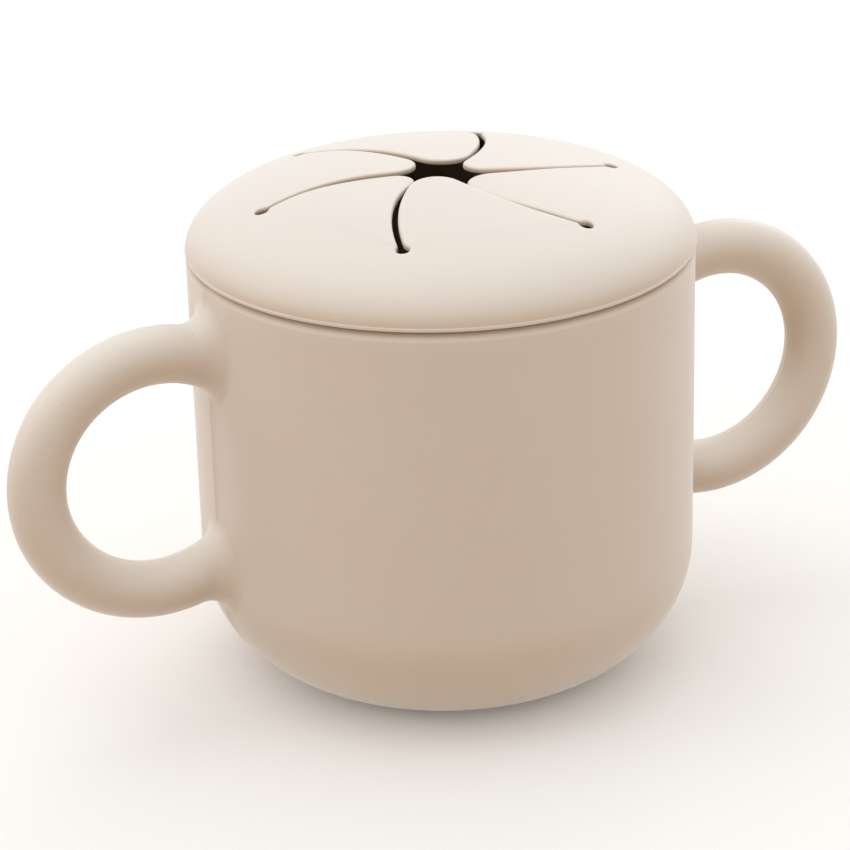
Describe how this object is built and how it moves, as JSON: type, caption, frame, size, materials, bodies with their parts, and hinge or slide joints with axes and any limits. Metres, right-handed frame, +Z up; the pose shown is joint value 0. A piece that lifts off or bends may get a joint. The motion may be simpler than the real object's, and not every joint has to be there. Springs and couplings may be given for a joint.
{
  "type": "toddler snack container",
  "caption": "Rounded cup with two ring handles and a domed press-on lid, whose curved flaps around a star opening let a small hand reach in.",
  "frame": {"origin": "centre of the cup's base, on the surface that it stands on", "axes": "+Z up along the cup's axis; +X out along the right handle; the two handles lie in the XZ plane"},
  "size_m": [0.1582, 0.0864, 0.0885],
  "materials": {
    "cup_silicone": "matte moulded silicone, warm beige",
    "lid_silicone": "matte moulded silicone, warm beige"
  },
  "bodies": {
    "cup": {"cup": "cup_silicone", "left_handle": "cup_silicone", "right_handle": "cup_silicone"},
    "lid": {"lid": "lid_silicone"},
    "petal_1": {"petal_1": "lid_silicone"},
    "petal_2": {"petal_2": "lid_silicone"},
    "petal_3": {"petal_3": "lid_silicone"},
    "petal_4": {"petal_4": "lid_silicone"},
    "petal_5": {"petal_5": "lid_silicone"},
    "petal_6": {"petal_6": "lid_silicone"}
  },
  "joints": [
    {"name": "lid_lift", "type": "slide", "parent": "cup", "child": "lid", "axis": [0, 0, 1], "range_m": [0, 0.05]},
    {"name": "petal_1_bend", "type": "hinge", "parent": "lid", "child": "petal_1", "pos_m": [0.02331, 0.0098, 0.08426], "axis": [0.3875, -0.9219, 0], "range_deg": [-50, 65], "stiffness_Nm_per_rad": 0.01},
    {"name": "petal_2_bend", "type": "hinge", "parent": "lid", "child": "petal_2", "pos_m": [0.00317, 0.02508, 0.08426], "axis": [0.9921, -0.1253, 0], "range_deg": [-50, 65], "stiffness_Nm_per_rad": 0.01},
    {"name": "petal_3_bend", "type": "hinge", "parent": "lid", "child": "petal_3", "pos_m": [-0.02014, 0.01528, 0.08426], "axis": [0.6046, 0.7965, 0], "range_deg": [-50, 65], "stiffness_Nm_per_rad": 0.01},
    {"name": "petal_4_bend", "type": "hinge", "parent": "lid", "child": "petal_4", "pos_m": [-0.02331, -0.0098, 0.08426], "axis": [-0.3875, 0.9219, 0], "range_deg": [-50, 65], "stiffness_Nm_per_rad": 0.01},
    {"name": "petal_5_bend", "type": "hinge", "parent": "lid", "child": "petal_5", "pos_m": [-0.00317, -0.02508, 0.08426], "axis": [-0.9921, 0.1253, 0], "range_deg": [-50, 65], "stiffness_Nm_per_rad": 0.01},
    {"name": "petal_6_bend", "type": "hinge", "parent": "lid", "child": "petal_6", "pos_m": [0.02014, -0.01528, 0.08426], "axis": [-0.6046, -0.7965, 0], "range_deg": [-50, 65], "stiffness_Nm_per_rad": 0.01}
  ]
}
